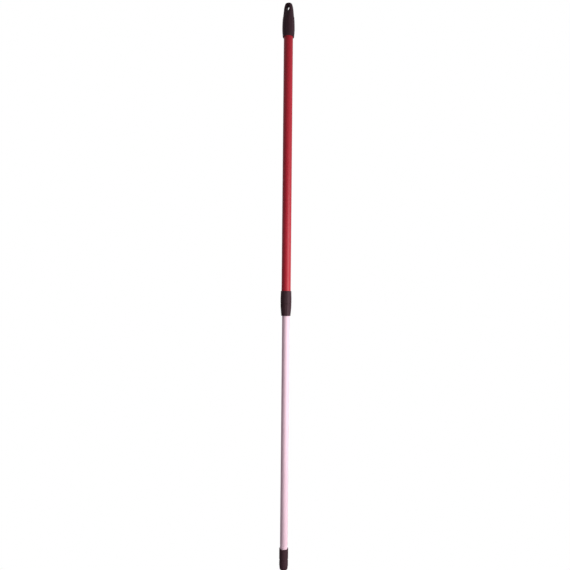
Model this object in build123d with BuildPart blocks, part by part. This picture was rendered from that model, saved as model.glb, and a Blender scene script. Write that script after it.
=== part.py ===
"""Two-section telescopic roller extension pole with a threaded collet lock.

Millimetres. The pole axis is Z, with the threaded tip's nose at Z = 0 and the hang cap on top.
The pole is modelled drawn out to its full length, with the lock nut done up.
The slot that the pole hangs by runs through the cap along Y.
"""

import os
from math import cos, radians, sin

from build123d import *

os.makedirs("parts", exist_ok=True)

# ---------------------------------------------------------------- driving dimensions
OVERALL = 1347.0

# Tubes
OUTER_R = 11.0
OUTER_WALL = 0.7
INNER_R = 9.0
INNER_WALL = 0.6
OUTER_BORE_R = OUTER_R - OUTER_WALL
INNER_BORE_R = INNER_R - INNER_WALL
RUNNING_GAP = 0.05  # radial gap of a part that slides or turns on another
FREE_GAP = 0.15  # radial gap where parts only pass each other

# Heights along the pole
TIP_TOP = 49.5  # lower end of the inner tube
NUT_BOTTOM = 603.6
NUT_TOP = 632.3
COLLAR_BOTTOM = 632.7
SHOULDER = 640.0  # ledge in the collar that the outer tube stands on
COLLAR_TOP = 662.8
INNER_TOP = 683.0  # upper end of the inner tube
CAP_BOTTOM = 1267.5
OUTER_TOP = 1317.0  # upper end of the outer tube, inside the cap

# Threaded tip
LAND_R = 10.65
LAND_BOTTOM = 25.0
TIP_ROOT_R = 9.8
TIP_CREST_R = 10.5
TIP_PITCH = 4.0
TIP_THREAD_LOW = 7.5
TIP_THREAD_TURNS = 3.6
NOSE_R = 7.9
SPIGOT_TOP = 86.0
SPIGOT_CORE_R = 6.4
TIP_FLOOR = 12.0

# Rolled grooves in the inner tube, which hold the tip and the guide bush
GROOVE_DEPTH = 0.55
GROOVE_HALF_WIDTH = 2.2
CRIMP_Z = 57.0
BUSH_GROOVE_Z = 662.0

# Collar
COLLAR_R = 13.1
COLLAR_LIP_R = 12.5

# Lock: neck of the collar, clamp ring and nut
NECK_BOTTOM = 616.0
NECK_ROOT_R = 10.7
NECK_CREST_R = 11.2
NECK_BORE_R = INNER_R + FREE_GAP
LOCK_PITCH = 3.0
LOCK_THREAD_LOW = 618.8
LOCK_THREAD_TURNS = 3.4
NUT_BORE_R = 11.35
NUT_CREST_R = 10.85
NUT_THREAD_LOW = LOCK_THREAD_LOW + LOCK_PITCH / 2
NUT_THREAD_TURNS = 3.0
NUT_MOUTH_R = INNER_R + 0.3
NUT_R = 13.0
NUT_HEEL_R = 11.1  # outside of the nut at the lower end of its taper
NUT_SEAT = 607.3  # ledge in the nut that carries the clamp ring
NUT_STEP = 615.5  # where the nut opens out for the thread
NUT_FLUTES = 14
RING_BOTTOM = 607.6
RING_TOP = 618.0
RING_R = 10.5
RING_END_R = 10.0  # small ends of the ring's two cones
CONE_GAP = 0.08
RING_FINGERS = 6
SAW_WIDTH = 1.2

# Guide bush on the inner tube
BUSH_BOTTOM = 640.3
BUSH_TOP = 680.3

# Hang cap
CAP_R = 14.8
CAP_SHOULDER_Z = 1317.0  # small step between the gripped body and the tab
TAB_R = 12.9  # the tab's outside just above the step
CAP_FLUTES = 12
FLUTE_DEPTH = 0.4
SPIGOT_BOTTOM = 1286.0
CAP_CORE_TOP = 1322.0
SLOT_Z = 1336.0
SLOT_WIDTH = 8.4
SLOT_HEIGHT = 15.0
TAB_HALF_THICKNESS = 7.0

# Snap lugs of the cap and the collar, in holes through the outer tube
SNAP_HOLE_R = 2.5
SNAP_LUG_R = 2.4
SNAP_LUG_END = 10.5  # distance of a lug's inner face from the pole axis
CAP_SNAP_Z = 1278.0
COLLAR_SNAP_Z = 652.0


def snap_lugs(height):
    """Round lugs on both sides of the current part, reaching into the outer tube's wall."""
    length = OUTER_R + 1.0 - SNAP_LUG_END
    middle = SNAP_LUG_END + length / 2
    for side in (1, -1):
        with Locations(Location((0, side * middle, height), (90, 0, 0))):
            Cylinder(radius=SNAP_LUG_R, height=length)


def thread_path(radius, low, pitch, turns):
    """Centre line of a right-hand thread ridge."""
    return Edge.make_helix(pitch, pitch * turns, radius, center=(0, 0, low))


def add_ridge(path, sunk, proud, root_width, crest_width):
    """Sweeps a trapezoid ridge along a helix: sunk into the wall, proud on the far side.

    A negative proud makes the ridge of an internal thread, which points at the axis.
    """
    start = path @ 0
    outward = Vector(start.X, start.Y, 0).normalized()
    section = Plane(origin=start, x_dir=outward, z_dir=path % 0)
    inner = -sunk if proud > 0 else sunk
    with BuildSketch(section) as ridge:
        with BuildLine():
            Polyline(
                (inner, -root_width / 2),
                (proud, -crest_width / 2),
                (proud, crest_width / 2),
                (inner, root_width / 2),
                close=True,
            )
        make_face()
    sweep(sections=ridge.sketch, path=path, is_frenet=True)


# ---------------------------------------------------------------- outer section
def make_outer_tube():
    """Painted steel tube with a pair of snap holes near each end."""
    with BuildPart() as tube:
        with BuildSketch(Plane.XY.offset(SHOULDER)):
            Circle(OUTER_R)
            Circle(OUTER_BORE_R, mode=Mode.SUBTRACT)
        extrude(amount=OUTER_TOP - SHOULDER)
        for height in (COLLAR_SNAP_Z, CAP_SNAP_Z):
            with Locations(Location((0, 0, height), (90, 0, 0))):
                Cylinder(radius=SNAP_HOLE_R, height=3 * OUTER_R, mode=Mode.SUBTRACT)
    return tube.part


def make_hang_cap():
    """Moulded cap: fluted skirt, spigot in the tube's end, and a flattened tab with a slot."""
    with BuildPart() as cap:
        with BuildSketch(Plane.XZ):
            with BuildLine():
                foot = Line((0, CAP_BOTTOM), (12.7, CAP_BOTTOM))
                lip = ThreePointArc(foot @ 1, (13.4, CAP_BOTTOM + 0.4), (13.7, CAP_BOTTOM + 1.6))
                belly = Spline(
                    lip @ 1,
                    (CAP_R, 1285.0),
                    (CAP_R - 0.2, 1300.0),
                    (13.6, CAP_SHOULDER_Z - 3.5),
                )
                shoulder = Line(belly @ 1, (TAB_R, CAP_SHOULDER_Z))
                flank = Spline(shoulder @ 1, (11.6, 1329.5), (10.6, 1337.5), (9.2, 1342.8))
                brow = ThreePointArc(flank @ 1, (8.2, 1345.5), (6.5, OVERALL))
                crown = Line(brow @ 1, (0, OVERALL))
                Line(crown @ 1, foot @ 0)
            make_face()
        revolve(axis=Axis.Z)

        # Flats on the front and back of the tab, which run out into the round body.
        for side in (1, -1):
            with BuildSketch(Plane.YZ):
                with BuildLine():
                    Polyline(
                        (side * TAB_HALF_THICKNESS, OVERALL + 1),
                        (side * TAB_HALF_THICKNESS, SLOT_Z - 4),
                        (side * (CAP_R + 1), SLOT_Z - 32),
                        (side * (CAP_R + 1), OVERALL + 1),
                        close=True,
                    )
                make_face()
            extrude(amount=CAP_R + 1, both=True, mode=Mode.SUBTRACT)

        # Shallow flutes down the body.
        flute_r = 3.0
        flute_axis_r = CAP_R + flute_r - FLUTE_DEPTH
        with BuildSketch(Plane.XY.offset(CAP_BOTTOM + 4)):
            with PolarLocations(flute_axis_r, CAP_FLUTES, start_angle=180 / CAP_FLUTES):
                Circle(flute_r)
        extrude(amount=CAP_SHOULDER_Z - CAP_BOTTOM - 10, mode=Mode.SUBTRACT)

        # Hang slot, through the tab along Y.
        with BuildSketch(Plane.XZ):
            with Locations((0, SLOT_Z)):
                SlotOverall(SLOT_HEIGHT, SLOT_WIDTH, rotation=90)
        extrude(amount=CAP_R + 1, both=True, mode=Mode.SUBTRACT)

        # Bore for the tube, with the spigot left standing in it.
        with BuildSketch(Plane.XY.offset(CAP_BOTTOM)):
            Circle(OUTER_R)
        extrude(amount=SPIGOT_BOTTOM - CAP_BOTTOM, mode=Mode.SUBTRACT)
        with BuildSketch(Plane.XY.offset(SPIGOT_BOTTOM)):
            Circle(OUTER_R)
            Circle(OUTER_BORE_R, mode=Mode.SUBTRACT)
        extrude(amount=OUTER_TOP - SPIGOT_BOTTOM, mode=Mode.SUBTRACT)
        with BuildSketch(Plane.XY.offset(SPIGOT_BOTTOM)):
            Circle(OUTER_BORE_R - 2.5)
        extrude(amount=CAP_CORE_TOP - SPIGOT_BOTTOM, mode=Mode.SUBTRACT)
        snap_lugs(CAP_SNAP_Z)
    return cap.part


def make_collar_body():
    """Collar snapped on the outer tube's lower end, with the split nut's threaded neck."""
    with BuildPart() as collar:
        with BuildSketch(Plane.XZ):
            with BuildLine():
                top = Line((OUTER_R, COLLAR_TOP), (COLLAR_LIP_R - 0.9, COLLAR_TOP))
                edge = ThreePointArc(
                    top @ 1,
                    (COLLAR_LIP_R - 0.3, COLLAR_TOP - 0.3),
                    (COLLAR_LIP_R, COLLAR_TOP - 1.2),
                )
                side = Spline(
                    edge @ 1,
                    (COLLAR_R - 0.15, 650.0),
                    (COLLAR_R, SHOULDER),
                    (COLLAR_R - 0.1, COLLAR_BOTTOM + 0.8),
                )
                Polyline(
                    side @ 1,
                    (COLLAR_R - 0.5, COLLAR_BOTTOM),
                    (NECK_ROOT_R, COLLAR_BOTTOM),
                    (NECK_ROOT_R, NECK_BOTTOM),
                    (NECK_ROOT_R - 0.2, NECK_BOTTOM),
                    (RING_END_R + CONE_GAP, RING_TOP + 0.3),
                    (NECK_BORE_R, RING_TOP + 1.5),
                    (NECK_BORE_R, SHOULDER),
                    (OUTER_R, SHOULDER),
                    top @ 0,
                )
            make_face()
        revolve(axis=Axis.Z)
        path = thread_path(NECK_ROOT_R, LOCK_THREAD_LOW, LOCK_PITCH, LOCK_THREAD_TURNS)
        add_ridge(path, sunk=0.2, proud=NECK_CREST_R - NECK_ROOT_R, root_width=1.7, crest_width=1.0)
        snap_lugs(COLLAR_SNAP_Z)
    return collar.part


# ---------------------------------------------------------------- lock
def make_clamp_ring():
    """Split ring with a cone at each end, which the nut squeezes on to the inner tube."""
    bore_r = INNER_R + RUNNING_GAP
    with BuildPart() as ring:
        with BuildSketch(Plane.XZ):
            with BuildLine():
                Polyline(
                    (bore_r, RING_BOTTOM),
                    (RING_END_R, RING_BOTTOM),
                    (RING_R, RING_BOTTOM + 6.0),
                    (RING_R, RING_BOTTOM + 7.6),
                    (RING_END_R, RING_TOP),
                    (bore_r, RING_TOP),
                    close=True,
                )
            make_face()
        revolve(axis=Axis.Z)
        # One saw cut goes right through, and the others leave the ring joined at one end.
        for finger in range(RING_FINGERS):
            cut_low = RING_BOTTOM - 1 if finger in (0, 2, 4) else RING_BOTTOM + 2.5
            cut_high = RING_TOP + 1 if finger in (0, 1, 3, 5) else RING_TOP - 2.5
            angle = finger * 360 / RING_FINGERS
            centre = Vector(bore_r * cos(radians(angle)), bore_r * sin(radians(angle)))
            with Locations(Location((centre.X, centre.Y, (cut_low + cut_high) / 2), (0, 0, angle))):
                Box(2 * NUT_BORE_R - 2 * bore_r, SAW_WIDTH, cut_high - cut_low, mode=Mode.SUBTRACT)
    return ring.part


def make_lock_nut():
    """Tapered, ribbed nut with an internal thread and a cone that closes the clamp ring."""
    with BuildPart() as nut:
        with BuildSketch(Plane.XZ):
            with BuildLine():
                top = Line((NUT_BORE_R, NUT_TOP), (NUT_R - 0.4, NUT_TOP))
                side = Spline(
                    (NUT_R, NUT_TOP - 0.5),
                    (NUT_R - 0.3, 624.0),
                    (NUT_HEEL_R + 0.8, 614.0),
                    (NUT_HEEL_R, NUT_BOTTOM + 2.0),
                )
                Line(top @ 1, side @ 0)
                heel = ThreePointArc(
                    side @ 1,
                    (NUT_HEEL_R - 0.3, NUT_BOTTOM + 0.6),
                    (NUT_HEEL_R - 0.8, NUT_BOTTOM),
                )
                Polyline(
                    heel @ 1,
                    (NUT_MOUTH_R, NUT_BOTTOM),
                    (NUT_MOUTH_R, NUT_SEAT),
                    (RING_END_R + CONE_GAP, NUT_SEAT),
                    (RING_R + CONE_GAP, RING_BOTTOM + 6.0),
                    (RING_R + CONE_GAP, NUT_STEP),
                    (NUT_BORE_R, NUT_STEP),
                    top @ 0,
                )
            make_face()
        revolve(axis=Axis.Z)

        # Grip flutes, cut square across the taper and faded out before both ends.
        flute_r = 2.0
        with BuildSketch(Plane.XY.offset(NUT_BOTTOM + 8)):
            with PolarLocations(
                NUT_R + flute_r - FLUTE_DEPTH, NUT_FLUTES, start_angle=180 / NUT_FLUTES
            ):
                Circle(flute_r)
        extrude(amount=NUT_TOP - NUT_BOTTOM - 10.5, mode=Mode.SUBTRACT)

        path = thread_path(NUT_BORE_R, NUT_THREAD_LOW, LOCK_PITCH, NUT_THREAD_TURNS)
        add_ridge(path, sunk=0.2, proud=NUT_CREST_R - NUT_BORE_R, root_width=1.5, crest_width=0.8)
    return nut.part


# ---------------------------------------------------------------- inner section
def groove_wall(z_groove, radius):
    """Points down one wall of a rolled groove, as (radius, height), from the top."""
    half = GROOVE_HALF_WIDTH
    return [(radius, z_groove + half), (radius - GROOVE_DEPTH, z_groove), (radius, z_groove - half)]


def make_inner_tube():
    """Painted steel tube with a rolled groove near each end."""
    with BuildPart() as tube:
        with BuildSketch(Plane.XZ):
            with BuildLine():
                bush_out = groove_wall(BUSH_GROOVE_Z, INNER_R)
                tip_out = groove_wall(CRIMP_Z, INNER_R)
                bush_in = groove_wall(BUSH_GROOVE_Z, INNER_BORE_R)
                tip_in = groove_wall(CRIMP_Z, INNER_BORE_R)
                Polyline((INNER_R, INNER_TOP), bush_out[0])
                ThreePointArc(*bush_out)
                Polyline(bush_out[2], tip_out[0])
                ThreePointArc(*tip_out)
                Polyline(tip_out[2], (INNER_R, TIP_TOP), (INNER_BORE_R, TIP_TOP), tip_in[2])
                ThreePointArc(*tip_in)
                Polyline(tip_in[0], bush_in[2])
                ThreePointArc(*bush_in)
                Polyline(bush_in[0], (INNER_BORE_R, INNER_TOP), (INNER_R, INNER_TOP))
            make_face()
        revolve(axis=Axis.Z)
    return tube.part


def make_guide_bush():
    """Slit sleeve that runs in the outer tube, with a rib in the inner tube's rolled groove."""
    bore_r = INNER_R + RUNNING_GAP
    outside_r = OUTER_BORE_R - RUNNING_GAP
    rib_r = INNER_R - GROOVE_DEPTH + 0.25
    with BuildPart() as bush:
        with BuildSketch(Plane.XZ):
            with BuildLine():
                Polyline(
                    (bore_r, BUSH_BOTTOM),
                    (outside_r - 0.3, BUSH_BOTTOM),
                    (outside_r, BUSH_BOTTOM + 1.5),
                    (outside_r, BUSH_TOP - 1.5),
                    (outside_r - 0.3, BUSH_TOP),
                    (bore_r, BUSH_TOP),
                    (bore_r, BUSH_GROOVE_Z + 0.7),
                    (rib_r, BUSH_GROOVE_Z + 0.3),
                    (rib_r, BUSH_GROOVE_Z - 0.3),
                    (bore_r, BUSH_GROOVE_Z - 0.7),
                    close=True,
                )
            make_face()
        revolve(axis=Axis.Z)
        with Locations((0, outside_r, (BUSH_BOTTOM + BUSH_TOP) / 2)):
            Box(1.5, 4.0, BUSH_TOP - BUSH_BOTTOM + 2, mode=Mode.SUBTRACT)
    return bush.part


def make_top_plug():
    """Hollow plug that closes the inner tube's upper end."""
    flange_top = INNER_TOP + 1.6
    with BuildPart() as plug:
        with BuildSketch(Plane.XZ):
            with BuildLine():
                Polyline(
                    (0, flange_top),
                    (INNER_R - 0.8, flange_top),
                    (INNER_R - 0.2, flange_top - 0.6),
                    (INNER_R - 0.2, INNER_TOP),
                    (INNER_BORE_R, INNER_TOP),
                    (INNER_BORE_R, 668.5),
                    (INNER_BORE_R - 0.6, 667.0),
                    (INNER_BORE_R - 1.6, 667.0),
                    (INNER_BORE_R - 1.6, INNER_TOP - 0.4),
                    (0, INNER_TOP - 0.4),
                    close=True,
                )
            make_face()
        revolve(axis=Axis.Z)
    return plug.part


def make_threaded_tip():
    """Moulded tip: spigot crimped in the inner tube, plain land, coarse thread and nose."""
    spigot_r = INNER_BORE_R
    groove = groove_wall(CRIMP_Z, spigot_r)
    with BuildPart() as tip:
        with BuildSketch(Plane.XZ):
            with BuildLine():
                nose = Line((0, 0), (NOSE_R, 0))
                round_over = Spline(
                    nose @ 1, (TIP_ROOT_R - 0.4, 2.4), (TIP_ROOT_R, 6.0), tangents=((1, 0.25), (0, 1))
                )
                Polyline(
                    round_over @ 1,
                    (TIP_ROOT_R, LAND_BOTTOM - 0.8),
                    (LAND_R, LAND_BOTTOM),
                    (LAND_R, TIP_TOP - 0.7),
                    (LAND_R - 0.7, TIP_TOP),
                    (spigot_r, TIP_TOP),
                    groove[2],
                )
                ThreePointArc(*groove)
                Polyline(
                    groove[0],
                    (spigot_r, SPIGOT_TOP - 2),
                    (spigot_r - 0.8, SPIGOT_TOP),
                    (SPIGOT_CORE_R, SPIGOT_TOP),
                    (SPIGOT_CORE_R, TIP_FLOOR + 3),
                    (SPIGOT_CORE_R - 3, TIP_FLOOR),
                    (0, TIP_FLOOR),
                    (0, 0),
                )
            make_face()
        revolve(axis=Axis.Z)
        path = thread_path(TIP_ROOT_R, TIP_THREAD_LOW, TIP_PITCH, TIP_THREAD_TURNS)
        add_ridge(path, sunk=0.3, proud=TIP_CREST_R - TIP_ROOT_R, root_width=2.6, crest_width=1.1)
    return tip.part


PIECES = {
    "hang_cap": make_hang_cap,
    "outer_tube": make_outer_tube,
    "collar_body": make_collar_body,
    "clamp_ring": make_clamp_ring,
    "lock_nut": make_lock_nut,
    "guide_bush": make_guide_bush,
    "inner_tube": make_inner_tube,
    "top_plug": make_top_plug,
    "threaded_tip": make_threaded_tip,
}

for name, make_piece in PIECES.items():
    piece = make_piece()
    piece.label = name
    export_step(piece, f"parts/{name}.step")
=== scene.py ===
"""Looks of the roller extension pole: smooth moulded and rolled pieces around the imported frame.

Lengths are metres in the row frame. The pole axis is Z, with the threaded tip at the bottom.
"""

from math import cos, pi, radians, sin, tan

import bmesh
import bpy
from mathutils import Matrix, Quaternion, Vector


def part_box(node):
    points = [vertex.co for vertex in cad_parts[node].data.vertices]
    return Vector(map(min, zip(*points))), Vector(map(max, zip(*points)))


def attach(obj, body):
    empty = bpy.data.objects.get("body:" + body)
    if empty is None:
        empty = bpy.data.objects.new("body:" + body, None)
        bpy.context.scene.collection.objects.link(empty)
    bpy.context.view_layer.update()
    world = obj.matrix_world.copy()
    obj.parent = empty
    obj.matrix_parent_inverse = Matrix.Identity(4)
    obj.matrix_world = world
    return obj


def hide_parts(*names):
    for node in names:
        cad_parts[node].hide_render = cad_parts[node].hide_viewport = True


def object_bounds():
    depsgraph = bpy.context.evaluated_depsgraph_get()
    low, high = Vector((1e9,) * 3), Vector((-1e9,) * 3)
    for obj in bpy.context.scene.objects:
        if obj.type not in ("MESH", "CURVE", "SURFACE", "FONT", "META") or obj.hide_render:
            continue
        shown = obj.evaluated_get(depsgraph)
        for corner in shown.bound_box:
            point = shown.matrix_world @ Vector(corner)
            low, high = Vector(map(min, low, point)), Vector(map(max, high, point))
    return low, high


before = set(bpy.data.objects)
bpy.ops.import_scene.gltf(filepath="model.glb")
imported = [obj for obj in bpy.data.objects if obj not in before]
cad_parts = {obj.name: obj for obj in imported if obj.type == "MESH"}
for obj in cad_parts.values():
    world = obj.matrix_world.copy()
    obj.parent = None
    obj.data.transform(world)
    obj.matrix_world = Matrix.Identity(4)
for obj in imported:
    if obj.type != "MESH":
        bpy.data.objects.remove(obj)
cad_low, cad_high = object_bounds()

MM = 0.001


# ---------------------------------------------------------------- sizes from the frame
def outer_radius(node):
    """A round node's largest distance from the pole axis."""
    low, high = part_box(node)
    return max(-low.x, -low.y, high.x, high.y)


def bottom(node):
    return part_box(node)[0].z


def top(node):
    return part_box(node)[1].z


OUTER_R = outer_radius("outer_tube")
OUTER_BORE_R = OUTER_R - 0.7 * MM
INNER_R = outer_radius("inner_tube")
INNER_BORE_R = INNER_R - 0.6 * MM
FIT_GAP = 0.02 * MM  # radial gap between a moulding and the tube it is pressed on
COLLAR_SEAM = 0.4 * MM  # gap that shows between the done-up nut and the collar
CRIMP_HEIGHT = 7.5 * MM  # crimp above the inner tube's lower end
SIDES = 128
SLOT_SIDES = 48
THREAD_STEP = 0.16 * MM  # row spacing that carries a thread
SHARP_ANGLE = 40  # degrees; a sharper edge stays crisp


# ---------------------------------------------------------------- outlines
def curve_through(points, steps=8):
    """Catmull-Rom curve through (radius, height) points, ends included."""
    padded = [points[0], *points, points[-1]]
    line = []
    for before, start, end, after in zip(padded, padded[1:], padded[2:], padded[3:]):
        for step in range(steps):
            t = step / steps
            line.append(tuple(
                0.5 * (2 * b + (c - a) * t + (2 * a - 5 * b + 4 * c - d) * t**2
                       + (3 * b - a - 3 * c + d) * t**3)
                for a, b, c, d in zip(before, start, end, after)
            ))
    return line + [points[-1]]


def rounded(corners, steps=6):
    """Polyline through (radius, height, rounding) corners, with an arc at each rounded one."""
    line = []
    for index, (r, z, rounding) in enumerate(corners):
        corner = Vector((r, z))
        if rounding == 0 or index in (0, len(corners) - 1):
            line.append((r, z))
            continue
        to_last = (Vector(corners[index - 1][:2]) - corner).normalized()
        to_next = (Vector(corners[index + 1][:2]) - corner).normalized()
        half_angle = to_last.angle(to_next) / 2
        reach = rounding / tan(half_angle)
        centre = corner + (to_last + to_next).normalized() * rounding / sin(half_angle)
        start = corner + to_last * reach - centre
        end = corner + to_next * reach - centre
        sweep = start.angle(end)
        for step in range(steps + 1):
            share = step / steps
            spoke = (start * sin((1 - share) * sweep) + end * sin(share * sweep)) / sin(sweep)
            line.append(tuple(centre + spoke))
    return line


def divided(line, longest):
    """The same line with long runs split, so that a surface made from it can carry relief."""
    out = [line[0]]
    for start, end in zip(line, line[1:]):
        a, b = Vector(start), Vector(end)
        pieces = max(1, int((b - a).length / longest) + 1)
        out += [tuple(a.lerp(b, step / pieces)) for step in range(1, pieces + 1)]
    return out


def smooth_step(value):
    value = min(max(value, 0.0), 1.0)
    return value * value * (3 - 2 * value)


def faded(z, low, high, run):
    """1 between low and high, easing to 0 over a run inside each end."""
    return smooth_step((z - low) / run) * smooth_step((high - z) / run)


# ---------------------------------------------------------------- meshes
def turned(name, lines):
    """Closed mesh turned about Z from a section given as [(points, relief), ...] in order.

    relief(radius, height, angle) gives the point's x and y, and None leaves it round.
    A section that starts and ends off the axis is a ring, and is closed on itself.
    """
    angles = [2 * pi * side / SIDES for side in range(SIDES)]
    mesh = bmesh.new()
    rows = []
    for points, relief in lines:
        for r, z in points:
            if r < 1e-7:
                rows.append([mesh.verts.new((0, 0, z))])
                continue
            row = []
            for angle in angles:
                if relief:
                    x, y = relief(r, z, angle)
                else:
                    x, y = r * cos(angle), r * sin(angle)
                row.append(mesh.verts.new((x, y, z)))
            rows.append(row)
    pairs = list(zip(rows, rows[1:]))
    if len(rows[0]) > 1:
        pairs.append((rows[-1], rows[0]))
    for lower, upper in pairs:
        if len(lower) == 1 and len(upper) == 1:
            continue
        for side in range(SIDES):
            after = (side + 1) % SIDES
            corners = [lower[side % len(lower)], lower[after % len(lower)],
                       upper[after % len(upper)], upper[side % len(upper)]]
            mesh.faces.new(list(dict.fromkeys(corners)))
    bmesh.ops.remove_doubles(mesh, verts=mesh.verts, dist=1e-7)
    bmesh.ops.recalc_face_normals(mesh, faces=mesh.faces)
    data = bpy.data.meshes.new(name)
    mesh.to_mesh(data)
    mesh.free()
    piece = bpy.data.objects.new(name, data)
    bpy.context.scene.collection.objects.link(piece)
    shade(piece)
    return piece


def shade(piece):
    piece.data.shade_smooth()
    piece.data.set_sharp_from_angle(angle=radians(SHARP_ANGLE))


def cut(piece, cutter):
    """Takes the cutter's shape out of the piece and deletes the cutter."""
    modifier = piece.modifiers.new("cut", "BOOLEAN")
    modifier.operation = "DIFFERENCE"
    modifier.solver = "EXACT"
    modifier.object = cutter
    depsgraph = bpy.context.evaluated_depsgraph_get()
    result = bpy.data.meshes.new_from_object(piece.evaluated_get(depsgraph))
    piece.modifiers.clear()
    piece.data = result
    bpy.data.objects.remove(cutter)
    shade(piece)


def thread_relief(root_r, crest_r, low, high, pitch, flank=0.5):
    """Relief of a right-hand thread with rounded crests, run out at both ends."""
    def relief(r, z, angle):
        phase = ((z - low) / pitch - angle / (2 * pi)) % 1
        crest = 0.5 - 0.5 * cos(2 * pi * phase)
        crest = smooth_step((crest - 0.5) / flank + 0.5)
        grown = root_r + (crest_r - root_r) * crest * faded(z, low, high, 0.6 * pitch)
        return grown * cos(angle), grown * sin(angle)
    return relief


# ---------------------------------------------------------------- pieces
def make_outer_tube():
    low, high = bottom("outer_tube"), top("outer_tube")
    edge = 0.2 * MM
    section = rounded([
        (OUTER_BORE_R, low + 1 * MM, 0),
        (OUTER_BORE_R, low, edge),
        (OUTER_R, low, edge),
        (OUTER_R, high, edge),
        (OUTER_BORE_R, high, edge),
        (OUTER_BORE_R, high - 1 * MM, 0),
    ])
    return turned("outer_tube_skin", [(section, None)])


def rolled_groove(radius, middle, upward):
    """Points of a rolled groove in a wall, from one side to the other."""
    depth, half = 0.55 * MM, 2.2 * MM
    line = []
    for step in range(13):
        along = step / 6 - 1
        dip = depth * (0.5 + 0.5 * cos(pi * along))
        line.append((radius - dip, middle + half * along))
    return line if upward else line[::-1]


def make_inner_tube():
    low, high = bottom("inner_tube"), top("inner_tube")
    crimp_z = low + CRIMP_HEIGHT
    bush_z = high - 21 * MM
    edge = 0.15 * MM
    lower_end = rounded([
        (INNER_BORE_R, crimp_z - 4 * MM, 0),
        (INNER_BORE_R, low, edge),
        (INNER_R, low, edge),
        (INNER_R, crimp_z - 4 * MM, 0),
    ])
    upper_end = rounded([
        (INNER_R, high - 5 * MM, 0),
        (INNER_R, high, edge),
        (INNER_BORE_R, high, edge),
        (INNER_BORE_R, high - 5 * MM, 0),
    ])
    section = lower_end
    section += rolled_groove(INNER_R, crimp_z, True)
    section += rolled_groove(INNER_R, bush_z, True)
    section += upper_end
    section += rolled_groove(INNER_BORE_R, bush_z, False)
    section += rolled_groove(INNER_BORE_R, crimp_z, False)
    return turned("inner_tube_skin", [(section, None)])


def make_hang_cap():
    low, high = bottom("hang_cap"), top("hang_cap")
    body_r = outer_radius("hang_cap")
    tube_top = top("outer_tube")
    flutes = 12
    slot_z = high - 11 * MM
    tab_half = 7.0 * MM

    def relief(r, z, angle):
        """Flutes down the body, then flats that pinch the tab front and back."""
        depth = 0.4 * MM * faded(z, low + 5 * MM, low + 48 * MM, 12 * MM)
        r -= depth * (0.5 + 0.5 * cos(flutes * angle + pi)) ** 2
        x, y = r * cos(angle), r * sin(angle)
        limit = tab_half + max(0.0, slot_z - 4 * MM - z) * 0.314
        blend = 1.6 * MM
        near = max(blend - abs(abs(y) - limit), 0.0) / blend
        pinched = min(abs(y), limit) - near**2 * blend / 4
        return x, (pinched if y > 0 else -pinched)

    skirt = rounded([
        (OUTER_R + FIT_GAP, low + 5 * MM, 0),
        (OUTER_R + FIT_GAP, low, 0.6 * MM),
        (13.5 * MM, low, 1.0 * MM),
        (13.95 * MM, low + 4 * MM, 0),
    ])
    body = curve_through([
        (13.95 * MM, low + 4 * MM),
        (14.4 * MM, low + 9.5 * MM),
        (body_r, low + 18 * MM),
        (14.7 * MM, low + 30 * MM),
        (14.25 * MM, low + 40 * MM),
        (13.75 * MM, low + 45.5 * MM),
    ])
    shoulder = rounded([
        (13.75 * MM, low + 45.5 * MM, 0),
        (13.6 * MM, low + 46.5 * MM, 0.8 * MM),
        (12.95 * MM, low + 49 * MM, 1.5 * MM),
        (12.75 * MM, low + 51 * MM, 0),
    ])
    tab = curve_through([
        (12.75 * MM, low + 51 * MM),
        (12.2 * MM, low + 56 * MM),
        (11.65 * MM, low + 62 * MM),
        (11.05 * MM, low + 67 * MM),
        (10.35 * MM, low + 71.5 * MM),
        (9.3 * MM, high - 4.2 * MM),
    ])
    crown = rounded([
        (9.3 * MM, high - 4.2 * MM, 0),
        (7.8 * MM, high, 1.8 * MM),
        (4.0 * MM, high, 0),
        (0, high, 0),
    ], steps=10)
    inside = [
        (0, tube_top + 5 * MM),
        (7.8 * MM, tube_top + 5 * MM),
        (7.8 * MM, tube_top - 31 * MM),
        (OUTER_BORE_R - FIT_GAP, tube_top - 31 * MM),
        (OUTER_BORE_R - FIT_GAP, tube_top + FIT_GAP),
        (OUTER_R + FIT_GAP, tube_top + FIT_GAP),
    ]
    outside = divided(body + shoulder[1:] + tab[1:] + crown[1:], 1.2 * MM)
    # The section runs from the axis inside the cap, down the bore, and up the outside.
    cap = turned("hang_cap_shell", [(inside + skirt[:-1], None), (outside, relief)])
    cut(cap, slot_cutter(slot_z, 8.4 * MM, 15 * MM, tab_half, body_r))
    return cap


def slot_cutter(middle, width, height, half_depth, reach):
    """Slot along Y with a mouth that flares at both faces of the tab."""
    flare = 1.2 * MM
    stations = [(0.0, 0.0)]
    for step in range(1, 7):
        turn = pi / 2 * step / 6
        stations.append((half_depth - flare * (1 - sin(turn)), flare * (1 - cos(turn))))
    stations.append((reach, flare))
    stations = [(-y, grow) for y, grow in reversed(stations[1:])] + stations
    mesh = bmesh.new()
    rows = []
    for y, grow in stations:
        half_width = width / 2 + grow
        straight = (height - width) / 2
        row = []
        for side in range(SLOT_SIDES):
            angle = 2 * pi * side / SLOT_SIDES
            lift = straight if sin(angle) > 0 else -straight
            row.append(mesh.verts.new(
                (half_width * cos(angle), y, middle + lift + half_width * sin(angle))
            ))
        rows.append(row)
    for near, far in zip(rows, rows[1:]):
        for side in range(SLOT_SIDES):
            after = (side + 1) % SLOT_SIDES
            mesh.faces.new([near[side], near[after], far[after], far[side]])
    mesh.faces.new(rows[0])
    mesh.faces.new(rows[-1])
    bmesh.ops.recalc_face_normals(mesh, faces=mesh.faces)
    data = bpy.data.meshes.new("slot_cutter")
    mesh.to_mesh(data)
    mesh.free()
    cutter = bpy.data.objects.new("slot_cutter", data)
    bpy.context.scene.collection.objects.link(cutter)
    return cutter


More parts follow.
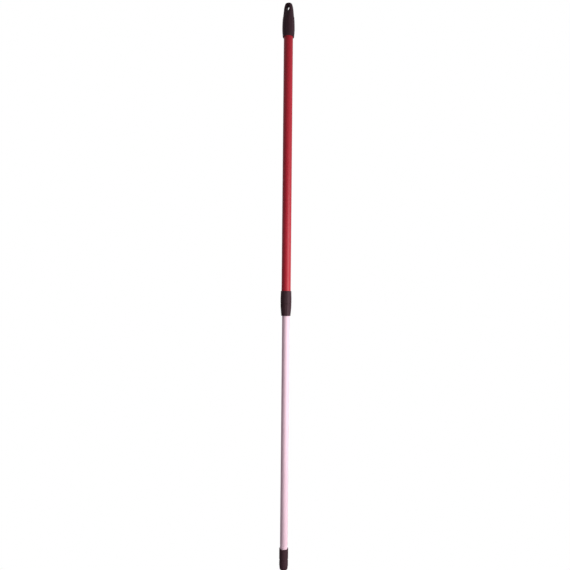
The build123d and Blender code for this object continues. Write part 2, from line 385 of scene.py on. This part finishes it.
def make_collar_body():
    low, high = bottom("collar_body"), top("collar_body")
    flange = top("lock_nut") + COLLAR_SEAM
    neck_r, crest_r = 10.7 * MM, 11.2 * MM
    neck_bore = INNER_R + 0.15 * MM
    ledge = bottom("outer_tube") - FIT_GAP
    body_r = outer_radius("collar_body")
    neck = rounded([
        (neck_bore, low + 3.5 * MM, 0),
        (10.08 * MM, low + 2.3 * MM, 0),
        (neck_r - 0.2 * MM, low, 0.1 * MM),
        (neck_r, low, 0.1 * MM),
        (neck_r, low + 1 * MM, 0),
    ])
    thread = divided([(neck_r, low + 1 * MM), (neck_r, flange - 0.3 * MM)], THREAD_STEP)
    sleeve = rounded([
        (neck_r, flange, 0),
        (body_r - 0.1 * MM, flange, 0.45 * MM),
        (body_r, ledge, 0),
    ])
    side = curve_through([
        (body_r, ledge),
        (body_r - 0.05 * MM, ledge + 6 * MM),
        (body_r - 0.25 * MM, ledge + 13 * MM),
        (12.65 * MM, high - 3 * MM),
    ])
    rim = rounded([
        (12.65 * MM, high - 3 * MM, 0),
        (12.45 * MM, high, 1.1 * MM),
        (11.5 * MM, high, 0.2 * MM),
        (OUTER_R + FIT_GAP, high - 0.7 * MM, 0.2 * MM),
        (OUTER_R + FIT_GAP, ledge, 0),
        (neck_bore, ledge, 0.2 * MM),
        (neck_bore, low + 4 * MM, 0),
    ])
    relief = thread_relief(neck_r, crest_r, low + 1.3 * MM, low + 13.2 * MM, 3 * MM)
    return turned("collar_shell", [
        (neck[:-1], None), (thread, relief), (sleeve[:-1] + side[:-1] + rim, None),
    ])


def make_lock_nut():
    low, high = bottom("lock_nut"), top("lock_nut")
    ribs = 14
    body_r = outer_radius("lock_nut")
    bore_r = 11.35 * MM

    def relief(r, z, angle):
        """Rounded grip ribs that follow the taper and die out at both ends."""
        depth = 0.3 * MM * faded(z, low + 2.5 * MM, high - 2 * MM, 3.5 * MM)
        r -= depth * (1 - abs(cos(ribs * angle / 2)) ** 1.5)
        return r * cos(angle), r * sin(angle)

    mouth_r = INNER_R + 0.3 * MM
    mouth = rounded([
        (mouth_r, low + 3.7 * MM, 0),
        (mouth_r, low, 0.25 * MM),
        (10.95 * MM, low, 0.7 * MM),
        (11.2 * MM, low + 2.6 * MM, 0),
    ])
    side = curve_through([
        (11.2 * MM, low + 2.6 * MM),
        (11.55 * MM, low + 6.5 * MM),
        (11.98 * MM, low + 11 * MM),
        (12.45 * MM, low + 16.5 * MM),
        (12.76 * MM, low + 21 * MM),
        (body_r - 0.02 * MM, high - 1.6 * MM),
    ])
    shoulder = rounded([
        (body_r - 0.02 * MM, high - 1.6 * MM, 0),
        (body_r, high, 0.45 * MM),
        (bore_r, high, 0.2 * MM),
        (bore_r, high - 1 * MM, 0),
    ])
    thread = divided([(bore_r, high - 1.1 * MM), (bore_r, low + 12.2 * MM)], THREAD_STEP)
    seat = [
        (bore_r, low + 11.9 * MM),
        (10.58 * MM, low + 11.9 * MM),
        (10.58 * MM, low + 10 * MM),
        (10.08 * MM, low + 3.7 * MM),
    ]
    inner_thread = thread_relief(bore_r, 10.85 * MM, low + 14.5 * MM, low + 27.2 * MM, 3 * MM)
    return turned("lock_nut_shell", [
        (mouth[:-1], None),
        (divided(side, 0.8 * MM), relief),
        (shoulder[1:], None),
        (thread, inner_thread),
        (seat, None),
    ])


def make_threaded_tip():
    low, high = bottom("threaded_tip"), top("threaded_tip")
    land_r = outer_radius("threaded_tip")
    root_r, crest_r = 9.8 * MM, 10.5 * MM
    land_low = low + 25 * MM
    shoulder = bottom("inner_tube") - FIT_GAP
    spigot_r = INNER_BORE_R - FIT_GAP
    core_r = 6.4 * MM
    nose = curve_through([
        (7.9 * MM, low),
        (8.9 * MM, low + 0.6 * MM),
        (9.5 * MM, low + 2.4 * MM),
        (9.75 * MM, low + 4.4 * MM),
        (root_r, low + 6 * MM),
    ])
    thread = divided([(root_r, low + 6.1 * MM), (root_r, land_low - 1.6 * MM)], THREAD_STEP)
    land = rounded([
        (root_r, land_low - 1.4 * MM, 0),
        (root_r, land_low - 0.7 * MM, 0.2 * MM),
        (land_r, land_low, 0.3 * MM),
        (land_r, shoulder, 0.7 * MM),
        (spigot_r, shoulder, 0.1 * MM),
        (spigot_r, shoulder + 2 * MM, 0),
    ])
    spigot = rounded([
        (spigot_r, high - 4 * MM, 0),
        (spigot_r, high, 1.2 * MM),
        (core_r, high, 0.3 * MM),
        (core_r, low + 12 * MM, 2.5 * MM),
        (0, low + 12 * MM, 0),
    ])
    relief = thread_relief(root_r, crest_r, low + 6.4 * MM, low + 22.6 * MM, 4 * MM)
    groove = rolled_groove(spigot_r, bottom("inner_tube") + CRIMP_HEIGHT, True)
    return turned("threaded_tip_moulding", [
        ([(0, low)] + nose, None), (thread, relief), (land + groove + spigot, None),
    ])


# ---------------------------------------------------------------- materials
class Nodes:
    """Small helper that adds and links shader nodes of one material."""

    def __init__(self, name):
        self.material = bpy.data.materials.new(name)
        self.material.use_nodes = True
        self.tree = self.material.node_tree
        self.shader = self.tree.nodes["Principled BSDF"]
        self.place = self.add("ShaderNodeTexCoord").outputs["Object"]

    def add(self, kind, links=None):
        node = self.tree.nodes.new(kind)
        for key, source in (links or {}).items():
            self.tree.links.new(source, node.inputs[key])
        return node

    def set(self, **values):
        for key, value in values.items():
            self.shader.inputs[key.replace("_", " ")].default_value = value

    def link(self, source, socket):
        self.tree.links.new(source, self.shader.inputs[socket])

    def noise(self, scale, stretch=(1, 1, 1), detail=3.0, roughness=0.5):
        """Noise with a feature size of about 1 / scale metres, stretched by axis."""
        mapping = self.add("ShaderNodeMapping", {"Vector": self.place})
        mapping.inputs["Scale"].default_value = stretch
        texture = self.add("ShaderNodeTexNoise", {"Vector": mapping.outputs["Vector"]})
        texture.inputs["Scale"].default_value = scale
        texture.inputs["Detail"].default_value = detail
        texture.inputs["Roughness"].default_value = roughness
        return texture.outputs["Fac"]

    def ramp(self, source, low, high, start, end):
        """Maps the source from low..high to start..end, and clamps it."""
        node = self.add("ShaderNodeMapRange", {"Value": source})
        node.inputs["From Min"].default_value = low
        node.inputs["From Max"].default_value = high
        node.inputs["To Min"].default_value = start
        node.inputs["To Max"].default_value = end
        return node.outputs["Result"]

    def mix(self, factor, dark, light):
        """Mixes two colours, each an RGB triple or the output of another node."""
        node = self.add("ShaderNodeMix")
        node.data_type = "RGBA"
        self.tree.links.new(factor, node.inputs["Factor"])
        for socket, colour in (("A", dark), ("B", light)):
            target = [s for s in node.inputs if s.name == socket and s.type == "RGBA"][0]
            if isinstance(colour, tuple):
                target.default_value = (*colour, 1)
            else:
                self.tree.links.new(colour, target)
        return [s for s in node.outputs if s.type == "RGBA"][0]

    def bump(self, height, distance, strength):
        node = self.add("ShaderNodeBump", {"Height": height})
        node.inputs["Distance"].default_value = distance
        node.inputs["Strength"].default_value = strength
        return node.outputs["Normal"]


def black_plastic():
    """Satin polypropylene with a fine spark-eroded skin and faint flow marks."""
    nodes = Nodes("black_plastic")
    flow = nodes.noise(60, (1, 1, 0.25))
    skin = nodes.noise(2600, detail=2)
    streak = nodes.ramp(flow, 0.35, 0.65, 0, 1)
    colour = nodes.mix(streak, (0.05, 0.024, 0.03), (0.058, 0.029, 0.036))
    nodes.link(colour, "Base Color")
    nodes.link(nodes.ramp(flow, 0.3, 0.7, 0.42, 0.5), "Roughness")
    nodes.link(nodes.bump(skin, 0.02 * MM, 0.5), "Normal")
    nodes.set(Specular_IOR_Level=0.1)
    nodes.shader.inputs["Specular Tint"].default_value = (1.0, 0.82, 0.93, 1)
    return nodes.material


def red_paint():
    """Baked red enamel over steel: slight orange peel, with hairline rubs along the tube."""
    nodes = Nodes("red_paint")
    cloud = nodes.noise(25, (1, 1, 0.3))
    hairline = nodes.noise(900, (1, 1, 0.02), detail=4, roughness=0.7)
    peel = nodes.noise(420, (1, 1, 0.6), detail=1)
    base = nodes.mix(nodes.ramp(cloud, 0.3, 0.7, 0, 1), (0.41, 0.014, 0.026), (0.46, 0.018, 0.033))
    worn = nodes.mix(nodes.ramp(hairline, 0.66, 0.8, 0, 0.35), base, (0.55, 0.05, 0.07))
    nodes.link(worn, "Base Color")
    nodes.link(nodes.ramp(hairline, 0.3, 0.75, 0.42, 0.5), "Roughness")
    nodes.link(nodes.bump(peel, 0.01 * MM, 0.3), "Normal")
    nodes.set(Specular_IOR_Level=0.35)
    return nodes.material


def pale_paint():
    """Pale pinkish white enamel, with faint grey rubs along the tube where it slides."""
    nodes = Nodes("pale_paint")
    cloud = nodes.noise(22, (1, 1, 0.3))
    hairline = nodes.noise(850, (1, 1, 0.015), detail=4, roughness=0.7)
    peel = nodes.noise(420, (1, 1, 0.6), detail=1)
    base = nodes.mix(nodes.ramp(cloud, 0.3, 0.7, 0, 1), (0.82, 0.57, 0.66), (0.86, 0.61, 0.7))
    worn = nodes.mix(nodes.ramp(hairline, 0.62, 0.8, 0, 0.3), base, (0.52, 0.42, 0.46))
    nodes.link(worn, "Base Color")
    nodes.link(nodes.ramp(hairline, 0.3, 0.75, 0.4, 0.48), "Roughness")
    nodes.link(nodes.bump(peel, 0.01 * MM, 0.3), "Normal")
    nodes.set(Specular_IOR_Level=0.26)
    return nodes.material


def natural_nylon():
    """Off-white moulded nylon with a dull skin."""
    nodes = Nodes("natural_nylon")
    flow = nodes.noise(90, (1, 1, 0.4))
    skin = nodes.noise(2200, detail=2)
    nodes.link(nodes.mix(flow, (0.66, 0.63, 0.54), (0.74, 0.71, 0.63)), "Base Color")
    nodes.link(nodes.bump(skin, 0.03 * MM, 0.5), "Normal")
    nodes.set(Roughness=0.5, Subsurface_Weight=0.08)
    nodes.shader.inputs["Subsurface Radius"].default_value = (0.002, 0.0018, 0.0014)
    return nodes.material


def give(piece, material):
    piece.data.materials.clear()
    piece.data.materials.append(material)


# ---------------------------------------------------------------- stage, light and camera
FILL_IN_FRONT = 0.17  # strength of the world's light from the camera's side
FILL_BEHIND = 0.85  # and from beyond the pole
CAMERA_SIDE = 26.5  # degrees round the pole from the hang slot's axis
CAMERA_DISTANCE = 1.24
EYE_HEIGHT = 0.677
CAMERA_ROLL = 0.53  # degrees


def make_stage():
    """Plain white floor that the camera sees evenly lit."""
    bpy.ops.mesh.primitive_plane_add(size=30, location=(0, 0, cad_low.z - 0.001))
    floor = bpy.context.object
    floor.name = "floor"
    material = bpy.data.materials.new("floor")
    material.use_nodes = True
    tree = material.node_tree
    tree.nodes.clear()
    path = tree.nodes.new("ShaderNodeLightPath")
    seen = tree.nodes.new("ShaderNodeEmission")
    lit = tree.nodes.new("ShaderNodeBsdfDiffuse")
    choice = tree.nodes.new("ShaderNodeMixShader")
    out = tree.nodes.new("ShaderNodeOutputMaterial")
    seen.inputs["Color"].default_value = (1, 1, 1, 1)
    lit.inputs["Color"].default_value = (0.3, 0.3, 0.3, 1)
    tree.links.new(path.outputs["Is Camera Ray"], choice.inputs["Fac"])
    tree.links.new(lit.outputs["BSDF"], choice.inputs[1])
    tree.links.new(seen.outputs["Emission"], choice.inputs[2])
    tree.links.new(choice.outputs["Shader"], out.inputs["Surface"])
    floor.data.materials.append(material)


def make_world():
    """White to the camera, and a dim fill for the object that is brighter from behind it."""
    world = bpy.data.worlds.new("studio")
    world.use_nodes = True
    tree = world.node_tree
    tree.nodes.clear()
    path = tree.nodes.new("ShaderNodeLightPath")
    place = tree.nodes.new("ShaderNodeTexCoord")
    facing = tree.nodes.new("ShaderNodeVectorMath")
    level = tree.nodes.new("ShaderNodeMapRange")
    seen = tree.nodes.new("ShaderNodeBackground")
    fill = tree.nodes.new("ShaderNodeBackground")
    choice = tree.nodes.new("ShaderNodeMixShader")
    out = tree.nodes.new("ShaderNodeOutputWorld")
    facing.operation = "DOT_PRODUCT"
    facing.inputs[1].default_value = -beside_camera(0)
    level.inputs["From Min"].default_value = -0.6
    level.inputs["From Max"].default_value = 0.6
    level.inputs["To Min"].default_value = FILL_IN_FRONT
    level.inputs["To Max"].default_value = FILL_BEHIND
    seen.inputs["Color"].default_value = (1, 1, 1, 1)
    fill.inputs["Color"].default_value = (0.97, 0.93, 1.0, 1)
    tree.links.new(place.outputs["Generated"], facing.inputs[0])
    tree.links.new(facing.outputs["Value"], level.inputs["Value"])
    tree.links.new(level.outputs["Result"], fill.inputs["Strength"])
    tree.links.new(path.outputs["Is Camera Ray"], choice.inputs["Fac"])
    tree.links.new(fill.outputs["Background"], choice.inputs[1])
    tree.links.new(seen.outputs["Background"], choice.inputs[2])
    tree.links.new(choice.outputs["Shader"], out.inputs["Surface"])
    bpy.context.scene.world = world


def beside_camera(degrees):
    """Level direction from the pole, turned this far to the camera's right of the camera."""
    angle = radians(CAMERA_SIDE + degrees)
    return Vector((sin(angle), -cos(angle), 0))


def soft_box(name, degrees, distance, height, size, power):
    """Tall soft box that faces the pole."""
    data = bpy.data.lights.new(name, "AREA")
    data.shape = "RECTANGLE"
    data.size, data.size_y = size
    data.energy = power
    light = bpy.data.objects.new(name, data)
    bpy.context.scene.collection.objects.link(light)
    light.location = beside_camera(degrees) * distance + Vector((0, 0, height))
    aim = Vector((0, 0, height)) - light.location
    light.rotation_euler = aim.to_track_quat("-Z", "Y").to_euler()


def make_camera():
    data = bpy.data.cameras.new("camera")
    data.sensor_width = 36
    data.lens = 32.84
    data.shift_x = -0.002
    camera = bpy.data.objects.new("camera", data)
    bpy.context.scene.collection.objects.link(camera)
    camera.location = beside_camera(0) * CAMERA_DISTANCE + Vector((0, 0, EYE_HEIGHT))
    camera.rotation_mode = "QUATERNION"
    level = (-beside_camera(0)).to_track_quat("-Z", "Y")
    camera.rotation_quaternion = level @ Quaternion((0, 0, 1), radians(CAMERA_ROLL))
    bpy.context.scene.camera = camera


# ---------------------------------------------------------------- assembly
def main():
    plastic, red, pale, nylon = black_plastic(), red_paint(), pale_paint(), natural_nylon()
    pieces = (
        (make_hang_cap, "hang_cap", "outer", plastic, "black_plastic"),
        (make_outer_tube, "outer_tube", "outer", red, "red_paint"),
        (make_collar_body, "collar_body", "outer", plastic, "black_plastic"),
        (make_lock_nut, "lock_nut", "nut", plastic, "black_plastic"),
        (make_inner_tube, "inner_tube", "inner", pale, "pale_paint"),
        (make_threaded_tip, "threaded_tip", "inner", plastic, "black_plastic"),
    )
    for make, node, body, material, slot in pieces:
        piece = make()
        give(piece, material)
        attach(piece, body)
        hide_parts(node)
    for node in ("clamp_ring", "guide_bush", "top_plug"):
        give(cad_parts[node], nylon)

    make_stage()
    make_world()
    soft_box("key", 53, 1.0, 0.52, (0.7, 1.1), 15.5)
    make_camera()
    bpy.context.scene.view_settings.view_transform = "Standard"


main()
